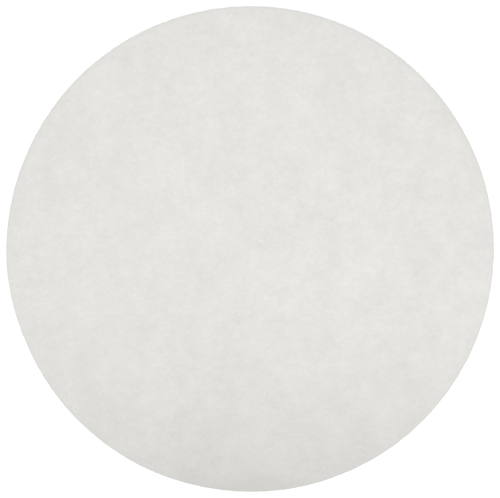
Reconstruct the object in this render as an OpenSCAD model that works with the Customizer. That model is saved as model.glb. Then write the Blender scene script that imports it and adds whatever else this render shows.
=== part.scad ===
// Filter paper disc: one round cut from a sheet of plain cellulose filter paper.
//
// The paper lies on its underside. Most of it is flat, and one margin has curled up off
// the surface, as thin paper does when one face of it dries before the other.
//
// Millimetres, +Z up. The origin is on the underside at the centre of the round.

/* [Disc] */
// Diameter of the round
disc_d = 125; // [110:5:300]
// Thickness of the paper
paper_t = 0.18; // [0.1:0.01:0.6]

/* [Curl] */
// Width of the margin that curls, measured along the paper from the rim inwards
curl_w = 54; // [20:1:55]
// Slope of the paper where the curl reaches the rim
curl_slope = 10; // [2:1:25]
// Direction from the centre to the curled margin, anticlockwise from +X
curl_at = 270; // [0:5:355]

/* [Cutting rule] */
// Direction from the centre to the joint in the round cutting rule, anticlockwise from +X
joint_at = 185; // [0:5:355]
// Angle, clockwise from the joint, over which that end of the rule has sprung outwards
spread_before = 29; // [10:1:45]
// Angle, anticlockwise from the joint, over which the other end has
spread_after = 18; // [10:1:45]
// How far the corner that the joint cuts stands out past the round
joint_proud = 0.35; // [0.1:0.05:1]

/* [Hidden] */

// Circles are drawn in steps of one degree, fine enough for the joint's low corner to show
$fa = 1;
$fs = 1;

disc_r = disc_d / 2;
// Paper left outside the round until it is cut
trim = joint_proud + 1;

// Unit vector at an angle, and the one a quarter turn further on. Across a section of the
// sheet, they point along a slope and up through the paper.
function along(angle) = [cos(angle), sin(angle)];
function through(angle) = [-sin(angle), cos(angle)];

// --- The curl -------------------------------------------------------------------------------
// The bend tightens evenly towards the rim, so the slope grows with the square of the distance
// along the paper. The curl is drawn in facets that all turn the paper by the same small angle:
// wide ones where the bend is slack, and narrow ones where it is tight.

facet_turn = 0.5;
facets = ceil(curl_slope / facet_turn);

// Distance along the paper from the start of the curl to the start of facet i
function facet_start(i) = curl_w * sqrt(i / facets);
// Slope of facet i
function facet_slope(i) = curl_slope * (i + 0.5) / facets;
// Length of facet i. The last one runs on into the trim.
function facet_l(i) = facet_start(i + 1) - facet_start(i) + (i == facets - 1 ? trim : 0);

// Underside of the curl, from its start to its end: [distance out from the centre, height]
underside = [
    for (
        i = 0, p = [disc_r - curl_w, 0];
        i <= facets;
        p = p + facet_l(i) * along(facet_slope(i)), i = i + 1
    ) p
];
// Top face above each of those points, a paper's thickness away
top_face = [for (i = [0 : facets]) underside[i] + paper_t * through(curl_slope * i / facets)];

// Section across the sheet, from the far side of the round to the end of the curl
module section() {
    far_end = -disc_r - trim;
    polygon(concat(
        [[far_end, paper_t], [far_end, 0]],
        underside,
        [for (i = [facets : -1 : 0]) top_face[i]]
    ));
}

// The sheet before the round is cut from it. The curl bends about one straight axis, so
// the section is the same all the way along it.
module sheet() {
    rotate([90, 0, curl_at])
        linear_extrude(disc_d + 2 * trim, center = true)
            section();
}

// --- The cut --------------------------------------------------------------------------------
// The cutting rule is a strip of steel bent to a circle until its two ends meet. Each end keeps
// the circle's radius but has sprung a little outwards, as if hinged where it leaves the round,
// so the two meet in a blunt corner.

// The two ends: [side of the joint, angle from the joint to where it leaves the round]
ends = [[-1, spread_before], [1, spread_after]];

// Centre of one end's arc. The arc runs from the corner, p, to where it leaves the round, q, and
// its centre is a radius away from both.
function end_centre(side, spread) =
    let (
        p = (disc_r + joint_proud) * along(joint_at),
        q = disc_r * along(joint_at + side * spread),
        chord = q - p,
        inwards = side * [-chord.y, chord.x] / norm(chord)
    )
    (p + q) / 2 + sqrt(pow(disc_r, 2) - pow(norm(chord) / 2, 2)) * inwards;

// The arcs of the two ends stand out past the round only between the places where they leave it
module round_outline() {
    circle(r = disc_r);
    intersection_for(end = ends)
        translate(end_centre(end[0], end[1]))
            circle(r = disc_r);
}

// The cut goes through the sheet from below its flat part to above the curled rim
module cut() {
    translate([0, 0, -trim])
        linear_extrude(curl_w + 2 * trim)
            round_outline();
}

module paper_disc() {
    color("#e6e5e1")
        intersection() {
            sheet();
            cut();
        }
}

paper_disc();
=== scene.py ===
import math

import bmesh
import bpy
from mathutils import Euler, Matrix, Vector, noise


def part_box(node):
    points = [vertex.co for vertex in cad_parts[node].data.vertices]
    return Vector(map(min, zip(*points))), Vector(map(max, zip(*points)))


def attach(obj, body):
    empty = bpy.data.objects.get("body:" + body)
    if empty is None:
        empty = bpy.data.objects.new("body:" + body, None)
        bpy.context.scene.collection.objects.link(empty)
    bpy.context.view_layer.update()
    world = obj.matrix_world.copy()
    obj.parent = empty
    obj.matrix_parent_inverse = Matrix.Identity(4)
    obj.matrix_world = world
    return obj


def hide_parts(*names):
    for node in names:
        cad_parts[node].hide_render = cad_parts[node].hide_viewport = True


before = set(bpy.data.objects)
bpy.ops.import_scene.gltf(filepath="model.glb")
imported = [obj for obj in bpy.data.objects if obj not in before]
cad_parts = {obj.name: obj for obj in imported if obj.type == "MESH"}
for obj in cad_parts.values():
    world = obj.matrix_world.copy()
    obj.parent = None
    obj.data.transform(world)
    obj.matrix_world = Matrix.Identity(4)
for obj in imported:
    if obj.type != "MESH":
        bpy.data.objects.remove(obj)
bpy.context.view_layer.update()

# --- Filter paper -----------------------------------------------------------------------------
# One round of plain laboratory filter paper. Bleached cotton fibres are laid wet on a wire and dried
# to a loose felt with no size, filler or gloss, and a round steel rule cuts it from the sheet. It
# lies loose on its underside, and one margin has curled up where its two faces dried unevenly.
MM = 0.001
round_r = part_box("paper_disc")[1].x
paper_t = 0.18 * MM

# The blank is a square grid drawn out to rings, so that the round has no pole at its middle.
across = 160
paper = bmesh.new()
bmesh.ops.create_grid(paper, x_segments=across, y_segments=across, size=round_r)
for v in paper.verts:
    x, y, _ = v.co
    if abs(x) > abs(y):
        turn = math.pi / 4 * y / x
        v.co.xy = x * math.cos(turn), x * math.sin(turn)
    elif y:
        turn = math.pi / 4 * x / y
        v.co.xy = y * math.sin(turn), y * math.cos(turn)

# The rim is drawn finer than the rest, to carry the ragged ends of its cut fibres. Each of its
# edges is parted, and narrow rings run at these distances inside it.
rim_parts = 4
rim_rings = (0.20 * MM, 0.14 * MM, 0.06 * MM)
rim = [e for e in paper.edges if e.is_boundary]
bmesh.ops.subdivide_edges(paper, edges=rim, cuts=rim_parts - 1)
for distance in rim_rings:
    bmesh.ops.inset_region(paper, faces=paper.faces[:], thickness=distance, use_boundary=True,
                           use_even_offset=True)

# The blank gets its thickness, and its two edges lose their sharpness.
edge_round = 0.015 * MM
top = bmesh.ops.extrude_face_region(paper, geom=paper.faces[:])
bmesh.ops.translate(paper, vec=(0, 0, paper_t),
                    verts=[g for g in top["geom"] if isinstance(g, bmesh.types.BMVert)])
bmesh.ops.recalc_face_normals(paper, faces=paper.faces[:])
wall = [f for f in paper.faces if abs(f.normal.z) < 0.5]
rim_edges = {e for f in wall for e in f.edges if any(abs(g.normal.z) > 0.5 for g in e.link_faces)}
bmesh.ops.bevel(paper, geom=list(rim_edges), offset=edge_round, offset_type="OFFSET", segments=2,
                profile=0.5, affect="EDGES", material=-1, clamp_overlap=True)

# The cutting rule is a strip bent round until its two ends meet. Each has sprung outwards a little,
# as if hinged where it leaves the round, so they cut a blunt corner.
joint_at = math.radians(185)
spread_before = math.radians(29)
spread_after = math.radians(18)
joint_proud = 0.35 * MM
# All round, the ends of the cut fibres stand in or out by up to this much. They do so over this
# length and, in finer octaves, over half of it and half as far, and so on.
fray = 0.07 * MM
fray_length = 1.6 * MM
fray_octaves = 4
octave_softer = 1.0
octave_finer = 2.0


def past_round(direction):
    """How far the cut edge stands out past the true round in a direction."""
    on_rim = Vector((math.cos(direction), math.sin(direction), 0)) * round_r
    proud = fray * noise.fractal(on_rim / fray_length, octave_softer, octave_finer, fray_octaves)
    off_joint = math.remainder(direction - joint_at, math.tau)
    spread = spread_after if off_joint > 0 else spread_before
    if abs(off_joint) < spread:
        proud += joint_proud * math.sin(spread - abs(off_joint)) / math.sin(spread)
    return proud


# Drying leaves gentle waves in the whole sheet, and the felt has small hills of its own on its top
# face: (length, height) of each. The waves are read from one slice through the noise.
cockle = ((16 * MM, 0.020 * MM), (7 * MM, 0.005 * MM))
hills = ((3.5 * MM, 0.002 * MM), (1.8 * MM, 0.001 * MM))
cockle_slice = 11 * MM


def waves(x, y, sizes):
    """Height of the sheet's waves of some sizes at a place."""
    place = Vector((x, y, cockle_slice))
    return sum(height * noise.noise(place / length) for length, height in sizes)


# Over on the far right the sheet stands a hair clear of the bench, and its rim turns down to it.
# The rise grows with the square of the distance towards that side, and falls to nothing over the
# last stretch before the rim, so it never reaches the whole of its value.
clear_at = math.radians(33)
clear_w = 18 * MM
clear_rise = 0.24 * MM


def clear_of_bench(x, y, inside_rim):
    """How far the far right of the sheet stands clear of the bench at a place."""
    towards = max(0, x * math.cos(clear_at) + y * math.sin(clear_at)) / round_r
    return clear_rise * towards ** 2 * inside_rim / clear_w * math.exp(1 - inside_rim / clear_w)


# The curl has shallow flutes along it: (length, place of a crest, height) of each. Its left end
# has risen a little more than its right one. It starts a little sooner than an even bend does, and
# its rim rises most at the middle and slackens towards both ends.
curl_w = 54 * MM
curl_slope = math.radians(10)
flutes = ((38.8 * MM, 27.6 * MM, 0.26 * MM), (20.2 * MM, 3.2 * MM, 0.15 * MM))
curl_twist = 0.14 * MM / (50 * MM)
curl_sooner = 0.75 * MM
curl_peak = 0.09 * MM
curl_slacker = 0.9 * MM


def off_even_bend(x, share):
    """How far the curl stands off an even bend, at x and at a share of its width."""
    off = sum(height * math.cos(math.tau * (x - crest) / length) for length, crest, height in flutes)
    off += curl_sooner * (1 - share) - curl_twist * x
    return off * share ** 2 + (curl_peak - curl_slacker * (x / round_r) ** 2) * share ** 4


# The rule presses the fibres together beside its cut, and this fades fast inwards. Paper that dries
# further once it is cut shrinks across its grain, so the round is a shade narrower one way.
pressed_w = 1.5 * MM
pressed_fade = 3
pressed_drop = 0.010 * MM
cross_shrink = 0.0022
resting_gap = 0.02 * MM

pressed = paper.verts.layers.float.new("pressed")
for v in paper.verts:
    x, y, z = v.co
    inside_rim = max(0, round_r - math.hypot(x, y))
    v[pressed] = max(0, 1 - inside_rim / pressed_w) ** pressed_fade
    if inside_rim < pressed_w:
        v.co.xy *= 1 + v[pressed] * past_round(math.atan2(y, x)) / round_r
    x, y = v.co.x, v.co.y * (1 - cross_shrink)

    if z > paper_t / 2:
        z += waves(x, y, hills) - pressed_drop * v[pressed]
    into_curl = max(0, curl_w - round_r - y)
    share = into_curl / curl_w
    z += resting_gap + waves(x, y, cockle) + clear_of_bench(x, y, inside_rim)
    z += off_even_bend(x, share)

    # The bend tightens evenly towards the rim, so the slope grows with the square of the distance.
    # These are the first terms of how far that carries the paper out and up.
    slope = curl_slope * share ** 2
    out = into_curl * (1 - slope ** 2 / 10)
    up = into_curl * slope / 3 * (1 - slope ** 2 / 14)
    y += into_curl - out + z * math.sin(slope)
    v.co = x, y, up + z * math.cos(slope)

paper_mesh = bpy.data.meshes.new("paper")
paper.to_mesh(paper_mesh)
paper.free()
paper_mesh.shade_smooth()
paper_piece = bpy.data.objects.new("paper", paper_mesh)
bpy.context.scene.collection.objects.link(paper_piece)


def linear(hex_colour):
    """An sRGB hex colour as the linear colour that a socket takes."""
    parts = [int(hex_colour[i:i + 2], 16) / 255 for i in (1, 3, 5)]
    return [c / 12.92 if c <= 0.04045 else ((c + 0.055) / 1.055) ** 2.4 for c in parts] + [1]


def add(tree, kind, settings):
    """Adds a node, with its properties and sockets set, or fed where the value is an output."""
    node = tree.nodes.new(kind)
    for name, value in settings.items():
        if isinstance(value, bpy.types.NodeSocket):
            tree.links.new(value, node.inputs[name])
        elif isinstance(name, int) or name in node.inputs:
            node.inputs[name].default_value = value
        else:
            setattr(node, name, value)
    return node


# Cotton cellulose, wet-laid and dried without pressing. It has no gloss at all: light sinks a
# little way in and comes back even and faintly warm. Where the felt is thick it is a shade
# lighter, so the eye gets soft clouds, tufts, fine wisps, and single strands lying every way.
paper_thin = "#dbdad6"
paper_thick = "#f3f2ee"
# Beside the cut the paper is drawn darker, towards this colour, by a share that fades fast inwards.
paper_beside_cut = "#e3e2de"
paper_roughness = 0.9
cellulose_ior = 1.47
# The felt's layers: (size one way, size the other way, detail, roughness, depth) of each. They are
# streaks where the pulp ran thicker over the wire, clouds of fibre, wisps of a few fibres that cling
# together, and tufts. The tufts come last, because the felt's relief is drawn from them too.
felt_layers = (
    (20 * MM, 30 * MM, 1, 0.5, 0.18),
    (9 * MM, 12 * MM, 1, 0.9, 0.44),
    (0.54 * MM, 0.68 * MM, 0, 0.5, 0.28),
    (2.8 * MM, 2.4 * MM, 2, 0.8, 0.53),
)
# A cotton fibre is about 0.02 mm wide. It is drawn as a strand nine times as wide, so as to show.
# Strands lie at each of these turns, in degrees. One shows where its noise is above the first of
# these levels and is whole above the second, and their sum over all the turns has this mean.
strand_l = 1.8 * MM
strand_w = 0.18 * MM
strand_depth = 0.065
strand_turns = (-10, 12, 48, 85, 130)
strand_bend = 1.2
strand_level = 0.5
strand_whole = 0.72
strand_cover = 0.82
# The tufts' relief is this deep at the most, and a strand stands up by this share of it.
felt_rise = 0.008 * MM
strand_rise = 0.7
# What is large enough to be told apart in the felt: two dark specks and two knots of fibre. Last comes
# a painted shade at the middle of the curled rim. (x, y, length, width, turn in degrees, colour,
# strength)
marks_and_painted_shade = (
    (1.8 * MM, 35.85 * MM, 1.2 * MM, 0.65 * MM, -45, "#b9b8b4", 0.16),
    (-23.5 * MM, -25.4 * MM, 0.9 * MM, 0.5 * MM, 90, "#b9b8b4", 0.13),
    (2.6 * MM, 2.15 * MM, 0.9 * MM, 0.6 * MM, 90, "#fffefa", 0.3),
    (-7.0 * MM, -57.2 * MM, 0.8 * MM, 0.45 * MM, 20, "#fffefa", 0.3),
    # Painted shade: the middle of the curled rim is drawn darker than the slope drawn there makes it.
    (1.5 * MM, -62.4 * MM, 30 * MM, 8.4 * MM, 0, "#b9b8b4", 0.12),
)
# Each is whole out to the first of these shares of its half size, and gone at the second.
mark_whole = 0.6
mark_gone = 1.4

wet_laid_cotton = bpy.data.materials.new("wet_laid_cotton")
wet_laid_cotton.use_nodes = True
tree = wet_laid_cotton.node_tree
tree.nodes.clear()
place = add(tree, "ShaderNodeTexCoord", {}).outputs["Object"]

# How full the felt is comes to a half where every layer is at its mean.
fullness = 0.5 - 0.5 * sum(depth for *_, depth in felt_layers) - strand_cover * strand_depth
for size_x, size_y, detail, roughness, depth in felt_layers:
    laid = add(tree, "ShaderNodeMapping",
               {"vector_type": "TEXTURE", "Vector": place,
                "Scale": (size_x, size_y, min(size_x, size_y))})
    layer = add(tree, "ShaderNodeTexNoise",
                {"Vector": laid.outputs[0], "Scale": 1, "Detail": detail, "Roughness": roughness})
    fullness = add(tree, "ShaderNodeMath",
                   {"operation": "MULTIPLY_ADD", 0: layer.outputs[0], 1: depth, 2: fullness}).outputs[0]
tufts = layer.outputs[0]

# The strands of each turn come from their own slice through the noise, so that no two lie alike.
strands = 0
for turn in strand_turns:
    laid = add(tree, "ShaderNodeMapping",
               {"vector_type": "TEXTURE", "Vector": place, "Location": (0, 0, turn * MM),
                "Rotation": (0, 0, math.radians(turn)), "Scale": (strand_l, strand_w, strand_w)})
    drawn = add(tree, "ShaderNodeTexNoise",
                {"Vector": laid.outputs[0], "Scale": 1, "Detail": 1, "Roughness": 0.5,
                 "Distortion": strand_bend})
    strand = add(tree, "ShaderNodeMapRange",
                 {"interpolation_type": "SMOOTHSTEP", "Value": drawn.outputs[0],
                  "From Min": strand_level, "From Max": strand_whole})
    strands = add(tree, "ShaderNodeMath",
                  {"operation": "ADD", 0: strands, 1: strand.outputs[0]}).outputs[0]
fullness = add(tree, "ShaderNodeMath",
               {"operation": "MULTIPLY_ADD", 0: strands, 1: strand_depth, 2: fullness}).outputs[0]

colour = add(tree, "ShaderNodeMix",
             {"data_type": "RGBA", "Factor": fullness,
              6: linear(paper_thin), 7: linear(paper_thick)}).outputs[2]
# Beside the cut the colour is drawn darker, by the same fading share.
beside_cut = add(tree, "ShaderNodeAttribute", {"attribute_name": "pressed"}).outputs["Fac"]
colour = add(tree, "ShaderNodeMix",
             {"data_type": "RGBA", "Factor": beside_cut,
              6: colour, 7: linear(paper_beside_cut)}).outputs[2]
# The specks and knots, and the painted shade on the curled rim, are mixed into the colour.
for x, y, mark_l, mark_w, turn, mark_colour, strength in marks_and_painted_shade:
    centred = add(tree, "ShaderNodeMapping",
                  {"vector_type": "TEXTURE", "Vector": place, "Location": (x, y, 0),
                   "Rotation": (0, 0, math.radians(turn)), "Scale": (mark_l / 2, mark_w / 2, 1)})
    from_middle = add(tree, "ShaderNodeVectorMath", {"operation": "LENGTH", 0: centred.outputs[0]})
    mark = add(tree, "ShaderNodeMapRange",
                {"interpolation_type": "SMOOTHSTEP", "Value": from_middle.outputs["Value"],
                 "From Min": mark_gone, "From Max": mark_whole, "To Max": strength})
    colour = add(tree, "ShaderNodeMix",
                 {"data_type": "RGBA", "Factor": mark.outputs[0],
                  6: colour, 7: linear(mark_colour)}).outputs[2]

relief = add(tree, "ShaderNodeMath",
             {"operation": "MULTIPLY_ADD", 0: strands, 1: strand_rise, 2: tufts}).outputs[0]
felt = add(tree, "ShaderNodeBump", {"Strength": 1, "Distance": felt_rise, "Height": relief})
surface = add(tree, "ShaderNodeBsdfPrincipled",
              {"Base Color": colour, "Normal": felt.outputs[0],
               "Roughness": paper_roughness, "IOR": cellulose_ior})
add(tree, "ShaderNodeOutputMaterial", {"Surface": surface.outputs[0]})

paper_mesh.materials.append(wet_laid_cotton)
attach(paper_piece, "root")
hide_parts("paper_disc")

# --- Bench ------------------------------------------------------------------------------------
# A plain bench top of matt white laminate, which isn't part of the object. It takes the paper's
# shadow, and a glow that only the eye sees keeps it white without lighting the paper more.
bench_w = 1000 * MM
below_paper = 0.01 * MM
laminate = "#aaaaaa"
bench_glow = 0.77
white = "#ffffff"

bench = bmesh.new()
bmesh.ops.create_grid(bench, x_segments=1, y_segments=1, size=bench_w / 2)
bmesh.ops.translate(bench, vec=(0, 0, -below_paper), verts=bench.verts)
bench_mesh = bpy.data.meshes.new("bench")
bench.to_mesh(bench_mesh)
bench.free()
bench_top = bpy.data.objects.new("bench", bench_mesh)
bpy.context.scene.collection.objects.link(bench_top)


def seen(tree):
    """1 on what is seen directly, in a mirror or through glass, and 0 on what only gives light."""
    path = add(tree, "ShaderNodeLightPath", {})
    eye = path.outputs["Is Camera Ray"]
    for way in ("Is Glossy Ray", "Is Transmission Ray"):
        eye = add(tree, "ShaderNodeMath",
                  {"operation": "ADD", "use_clamp": True, 0: eye, 1: path.outputs[way]}).outputs[0]
    return eye


white_laminate = bpy.data.materials.new("white_laminate")
white_laminate.use_nodes = True
tree = white_laminate.node_tree
tree.nodes.clear()
lit = add(tree, "ShaderNodeBsdfDiffuse", {"Color": linear(laminate)})
strength = add(tree, "ShaderNodeMath", {"operation": "MULTIPLY", 0: seen(tree), 1: bench_glow})
glow = add(tree, "ShaderNodeEmission", {"Color": linear(white), "Strength": strength.outputs[0]})
both = add(tree, "ShaderNodeAddShader", {0: lit.outputs[0], 1: glow.outputs[0]})
add(tree, "ShaderNodeOutputMaterial", {"Surface": both.outputs[0]})
bench_mesh.materials.append(white_laminate)

# --- Lamps and room ---------------------------------------------------------------------------
# A softbox stands low on the side of the curl, a small lamp hangs over the paper, and the white
# room gives the rest, a hair warmer. Their shares add up to 1, at which a level face shows its own
# colour.
softbox_w = 1000 * MM
softbox_share = 0.5
softbox_away = 5000 * MM
softbox_raised = math.radians(30)
overhead_w = 120 * MM
overhead_share = 0.3
overhead_at = Vector((17 * MM, 30 * MM, 350 * MM))
room_share = 1 - softbox_share - overhead_share
room_tint = "#fffefe"
# An area lamp of this power gives a face one metre in front of it the light of a white room.
full_power = math.pi ** 2

softbox_at = Vector((0, -math.cos(softbox_raised), math.sin(softbox_raised))) * softbox_away
# Each lamp's name, width, share, place, and tilt from straight down
lamps = (
    ("softbox", softbox_w, softbox_share, softbox_at, math.pi / 2 - softbox_raised),
    ("overhead", overhead_w, overhead_share, overhead_at, 0),
)
for name, width, share, at, tilt in lamps:
    turned = Euler((tilt, 0, 0))
    lamp_back = turned.to_matrix() @ Vector((0, 0, 1))
    towards = at.normalized()
    # What reaches the paper falls with the square of the distance, and with each of the slants at
    # which it leaves the lamp and meets the paper.
    reach = towards.dot(lamp_back) * towards.z / at.length ** 2
    lamp_data = bpy.data.lights.new(name, "AREA")
    lamp_data.size = width
    lamp_data.energy = full_power * share / reach
    lamp = bpy.data.objects.new(name, lamp_data)
    lamp.location = at
    lamp.rotation_euler = turned
    lamp.visible_camera = False
    bpy.context.scene.collection.objects.link(lamp)

room = bpy.data.worlds.new("room")
room.use_nodes = True
tree = room.node_tree
tree.nodes.clear()
room_light = add(tree, "ShaderNodeBackground",
                 {"Color": linear(room_tint), "Strength": room_share})
room_walls = add(tree, "ShaderNodeBackground", {"Color": linear(white), "Strength": 1})
mix = add(tree, "ShaderNodeMixShader",
          {0: seen(tree), 1: room_light.outputs[0], 2: room_walls.outputs[0]})
add(tree, "ShaderNodeOutputWorld", {"Surface": mix.outputs[0]})
bpy.context.scene.world = room
bpy.context.scene.view_settings.view_transform = "Standard"

# --- Camera -----------------------------------------------------------------------------------
# It looks straight down on the paper, as on a copy stand, from far enough away that the curled
# margin is hardly enlarged for being nearer.
camera_height = 1500 * MM
# The view's width, the radius of the round in it, and how far the round is off its middle, in
# pixels
view_px = 500
round_px = 243.3
right_of_middle_px = 0.69
below_middle_px = 0.24
pixel = round_r / round_px

camera_data = bpy.data.cameras.new("copy_stand_camera")
camera_data.lens = camera_data.sensor_width * camera_height / (view_px * pixel)
camera = bpy.data.objects.new("copy_stand_camera", camera_data)
camera.location = (-right_of_middle_px * pixel, below_middle_px * pixel, camera_height)
bpy.context.scene.collection.objects.link(camera)
bpy.context.scene.camera = camera
